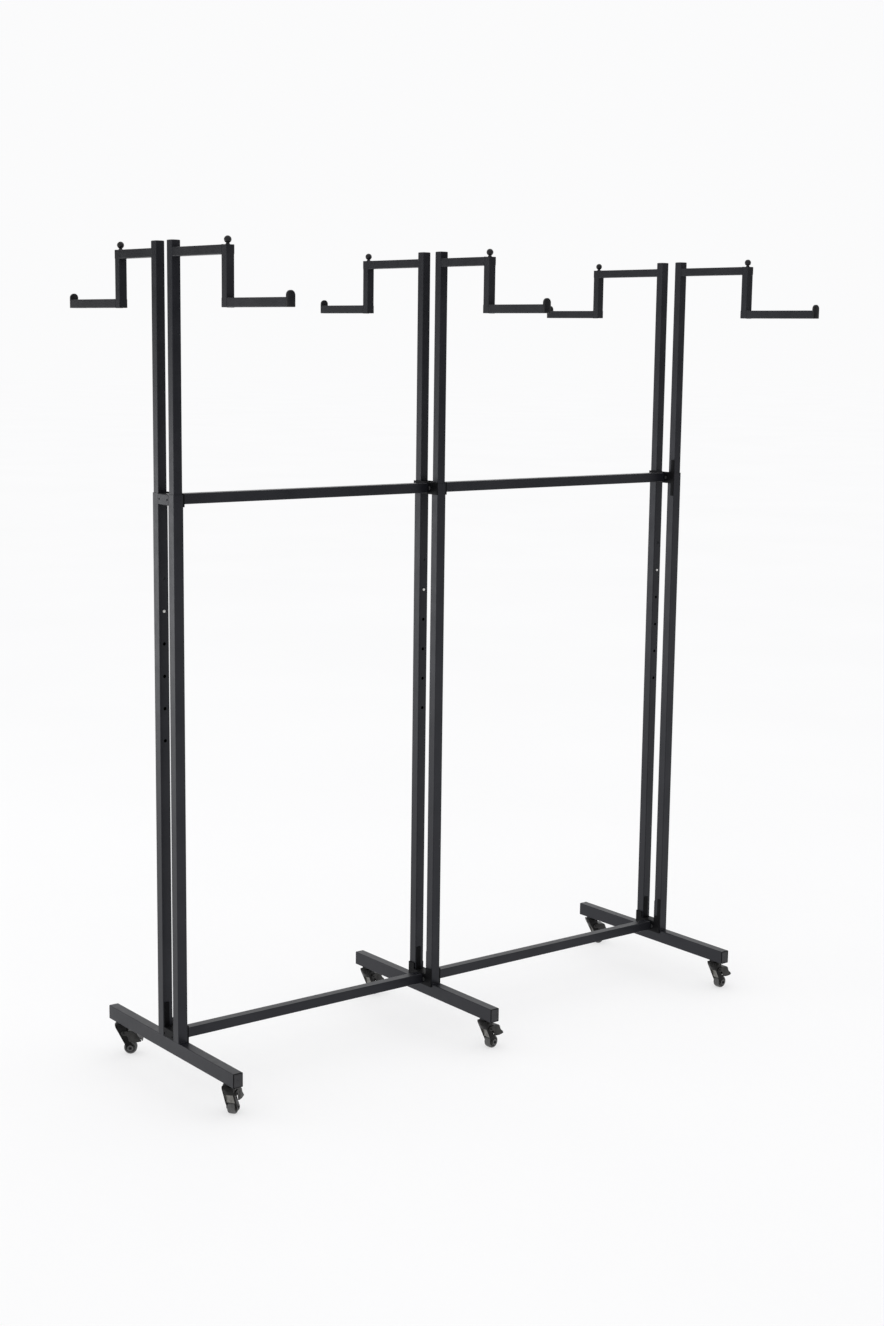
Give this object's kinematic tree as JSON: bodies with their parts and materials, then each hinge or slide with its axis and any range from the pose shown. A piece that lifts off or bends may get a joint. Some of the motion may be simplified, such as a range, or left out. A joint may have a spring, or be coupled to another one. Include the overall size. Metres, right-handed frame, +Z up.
{
  "type": "rolling clothes rack",
  "caption": "Free-standing clothes rack on swivel casters: paired square uprights joined by crossbars, with telescopic masts that carry stepped hanging arms.",
  "frame": {"origin": "on the floor, under the middle of the rack's outline", "axes": "+Z up, +X along the crossbars from the left frame to the right frame, -Y the front"},
  "size_m": [1.617, 1.011, 1.9465],
  "materials": {
    "tube_black": "semi-gloss powder coat",
    "arm_black": "semi-gloss powder coat",
    "bracket_black": "matte",
    "fastener_steel": "black zinc",
    "plug_plastic": "matte",
    "stop_plastic": "satin",
    "button_steel": "zinc plated",
    "caster_fork": "satin moulded",
    "caster_wheel": "satin",
    "pedal_plastic": "satin moulded"
  },
  "bodies": {
    "frame": {"foot_left": "tube_black", "foot_middle": "tube_black", "foot_right": "tube_black", "foot_end_plugs": "plug_plastic", "upright_left_front": "tube_black", "upright_left_rear": "tube_black", "upright_middle_front": "tube_black", "upright_middle_rear": "tube_black", "upright_right_front": "tube_black", "upright_right_rear": "tube_black", "upper_bridges": "tube_black", "lower_bridges": "bracket_black", "crossbar_low_left": "tube_black", "crossbar_low_right": "tube_black", "crossbar_upper_left": "tube_black", "crossbar_upper_right": "tube_black", "crossbar_brackets": "bracket_black", "frame_fasteners": "fastener_steel"},
    "mast_left_front": {"mast_left_front": "tube_black", "arm_left_front": "arm_black", "arm_stops_left_front": "stop_plastic"},
    "button_left_front": {"snap_button_left_front": "button_steel"},
    "caster_left_front": {"caster_yoke_left_front": "caster_fork"},
    "wheel_left_front": {"caster_wheel_left_front": "caster_wheel"},
    "pedal_left_front": {"brake_pedal_left_front": "pedal_plastic"},
    "mast_left_rear": {"mast_left_rear": "tube_black", "arm_left_rear": "arm_black", "arm_stops_left_rear": "stop_plastic"},
    "button_left_rear": {"snap_button_left_rear": "button_steel"},
    "caster_left_rear": {"caster_yoke_left_rear": "caster_fork"},
    "wheel_left_rear": {"caster_wheel_left_rear": "caster_wheel"},
    "pedal_left_rear": {"brake_pedal_left_rear": "pedal_plastic"},
    "mast_middle_front": {"mast_middle_front": "tube_black", "arm_middle_front": "arm_black", "arm_stops_middle_front": "stop_plastic"},
    "button_middle_front": {"snap_button_middle_front": "button_steel"},
    "caster_middle_front": {"caster_yoke_middle_front": "caster_fork"},
    "wheel_middle_front": {"caster_wheel_middle_front": "caster_wheel"},
    "pedal_middle_front": {"brake_pedal_middle_front": "pedal_plastic"},
    "mast_middle_rear": {"mast_middle_rear": "tube_black", "arm_middle_rear": "arm_black", "arm_stops_middle_rear": "stop_plastic"},
    "button_middle_rear": {"snap_button_middle_rear": "button_steel"},
    "caster_middle_rear": {"caster_yoke_middle_rear": "caster_fork"},
    "wheel_middle_rear": {"caster_wheel_middle_rear": "caster_wheel"},
    "pedal_middle_rear": {"brake_pedal_middle_rear": "pedal_plastic"},
    "mast_right_front": {"mast_right_front": "tube_black", "arm_right_front": "arm_black", "arm_stops_right_front": "stop_plastic"},
    "button_right_front": {"snap_button_right_front": "button_steel"},
    "caster_right_front": {"caster_yoke_right_front": "caster_fork"},
    "wheel_right_front": {"caster_wheel_right_front": "caster_wheel"},
    "pedal_right_front": {"brake_pedal_right_front": "pedal_plastic"},
    "mast_right_rear": {"mast_right_rear": "tube_black", "arm_right_rear": "arm_black", "arm_stops_right_rear": "stop_plastic"},
    "button_right_rear": {"snap_button_right_rear": "button_steel"},
    "caster_right_rear": {"caster_yoke_right_rear": "caster_fork"},
    "wheel_right_rear": {"caster_wheel_right_rear": "caster_wheel"},
    "pedal_right_rear": {"brake_pedal_right_rear": "pedal_plastic"}
  },
  "joints": [
    {"name": "mast_slide_left_front", "type": "slide", "parent": "frame", "child": "mast_left_front", "axis": [0, 0, 1], "range_m": [-0.3, 0.075], "deforming": ["snap_button_left_front"]},
    {"name": "button_press_left_front", "type": "slide", "parent": "mast_left_front", "child": "button_left_front", "axis": [0, -1, 0], "range_m": [0, 0.0034], "stiffness_N_per_m": 900},
    {"name": "caster_swivel_left_front", "type": "hinge", "parent": "frame", "child": "caster_left_front", "pos_m": [-0.79125, -0.2495, 0.08], "axis": [0, 0, 1], "continuous": true},
    {"name": "wheel_roll_left_front", "type": "hinge", "parent": "caster_left_front", "child": "wheel_left_front", "pos_m": [-0.77345, -0.23657, 0.016], "axis": [-0.5878, 0.809, 0], "continuous": true},
    {"name": "brake_press_left_front", "type": "hinge", "parent": "caster_left_front", "child": "pedal_left_front", "pos_m": [-0.7864, -0.24597, 0.0545], "axis": [-0.5878, 0.809, 0], "range_deg": [0, 10]},
    {"name": "mast_slide_left_rear", "type": "slide", "parent": "frame", "child": "mast_left_rear", "axis": [0, 0, 1], "range_m": [-0.3, 0.075], "deforming": ["snap_button_left_rear"]},
    {"name": "button_press_left_rear", "type": "slide", "parent": "mast_left_rear", "child": "button_left_rear", "axis": [0, 1, 0], "range_m": [0, 0.0034], "stiffness_N_per_m": 900},
    {"name": "caster_swivel_left_rear", "type": "hinge", "parent": "frame", "child": "caster_left_rear", "pos_m": [-0.79125, 0.2495, 0.08], "axis": [0, 0, 1], "continuous": true},
    {"name": "wheel_roll_left_rear", "type": "hinge", "parent": "caster_left_rear", "child": "wheel_left_rear", "pos_m": [-0.77323, 0.23688, 0.016], "axis": [0.5736, 0.8192, 0], "continuous": true},
    {"name": "brake_press_left_rear", "type": "hinge", "parent": "caster_left_rear", "child": "pedal_left_rear", "pos_m": [-0.78634, 0.24606, 0.0545], "axis": [0.5736, 0.8192, 0], "range_deg": [0, 10]},
    {"name": "mast_slide_middle_front", "type": "slide", "parent": "frame", "child": "mast_middle_front", "axis": [0, 0, 1], "range_m": [-0.3, 0.075], "deforming": ["snap_button_middle_front"]},
    {"name": "button_press_middle_front", "type": "slide", "parent": "mast_middle_front", "child": "button_middle_front", "axis": [0, -1, 0], "range_m": [0, 0.0034], "stiffness_N_per_m": 900},
    {"name": "caster_swivel_middle_front", "type": "hinge", "parent": "frame", "child": "caster_middle_front", "pos_m": [-0.05125, -0.2495, 0.08], "axis": [0, 0, 1], "continuous": true},
    {"name": "wheel_roll_middle_front", "type": "hinge", "parent": "caster_middle_front", "child": "wheel_middle_front", "pos_m": [-0.02937, -0.2472, 0.016], "axis": [-0.1045, 0.9945, 0], "continuous": true},
    {"name": "brake_press_middle_front", "type": "hinge", "parent": "caster_middle_front", "child": "pedal_middle_front", "pos_m": [-0.04528, -0.24887, 0.0545], "axis": [-0.1045, 0.9945, 0], "range_deg": [0, 10]},
    {"name": "mast_slide_middle_rear", "type": "slide", "parent": "frame", "child": "mast_middle_rear", "axis": [0, 0, 1], "range_m": [-0.3, 0.075], "deforming": ["snap_button_middle_rear"]},
    {"name": "button_press_middle_rear", "type": "slide", "parent": "mast_middle_rear", "child": "button_middle_rear", "axis": [0, 1, 0], "range_m": [0, 0.0034], "stiffness_N_per_m": 900},
    {"name": "caster_swivel_middle_rear", "type": "hinge", "parent": "frame", "child": "caster_middle_rear", "pos_m": [-0.05125, 0.2495, 0.08], "axis": [0, 0, 1], "continuous": true},
    {"name": "wheel_roll_middle_rear", "type": "hinge", "parent": "caster_middle_rear", "child": "wheel_middle_rear", "pos_m": [-0.02958, 0.25332, 0.016], "axis": [-0.1736, 0.9848, 0], "continuous": true},
    {"name": "brake_press_middle_rear", "type": "hinge", "parent": "caster_middle_rear", "child": "pedal_middle_rear", "pos_m": [-0.04534, 0.25054, 0.0545], "axis": [-0.1736, 0.9848, 0], "range_deg": [0, 10]},
    {"name": "mast_slide_right_front", "type": "slide", "parent": "frame", "child": "mast_right_front", "axis": [0, 0, 1], "range_m": [-0.3, 0.075], "deforming": ["snap_button_right_front"]},
    {"name": "button_press_right_front", "type": "slide", "parent": "mast_right_front", "child": "button_right_front", "axis": [0, -1, 0], "range_m": [0, 0.0034], "stiffness_N_per_m": 900},
    {"name": "caster_swivel_right_front", "type": "hinge", "parent": "frame", "child": "caster_right_front", "pos_m": [0.75075, -0.2495, 0.08], "axis": [0, 0, 1], "continuous": true},
    {"name": "wheel_roll_right_front", "type": "hinge", "parent": "caster_right_front", "child": "wheel_right_front", "pos_m": [0.77275, -0.2495, 0.016], "axis": [0, 1, 0], "continuous": true},
    {"name": "brake_press_right_front", "type": "hinge", "parent": "caster_right_front", "child": "pedal_right_front", "pos_m": [0.75675, -0.2495, 0.0545], "axis": [0, 1, 0], "range_deg": [0, 10]},
    {"name": "mast_slide_right_rear", "type": "slide", "parent": "frame", "child": "mast_right_rear", "axis": [0, 0, 1], "range_m": [-0.3, 0.075], "deforming": ["snap_button_right_rear"]},
    {"name": "button_press_right_rear", "type": "slide", "parent": "mast_right_rear", "child": "button_right_rear", "axis": [0, 1, 0], "range_m": [0, 0.0034], "stiffness_N_per_m": 900},
    {"name": "caster_swivel_right_rear", "type": "hinge", "parent": "frame", "child": "caster_right_rear", "pos_m": [0.75075, 0.2495, 0.08], "axis": [0, 0, 1], "continuous": true},
    {"name": "wheel_roll_right_rear", "type": "hinge", "parent": "caster_right_rear", "child": "wheel_right_rear", "pos_m": [0.772, 0.24381, 0.016], "axis": [0.2588, 0.9659, 0], "continuous": true},
    {"name": "brake_press_right_rear", "type": "hinge", "parent": "caster_right_rear", "child": "pedal_right_rear", "pos_m": [0.75655, 0.24795, 0.0545], "axis": [0.2588, 0.9659, 0], "range_deg": [0, 10]}
  ]
}
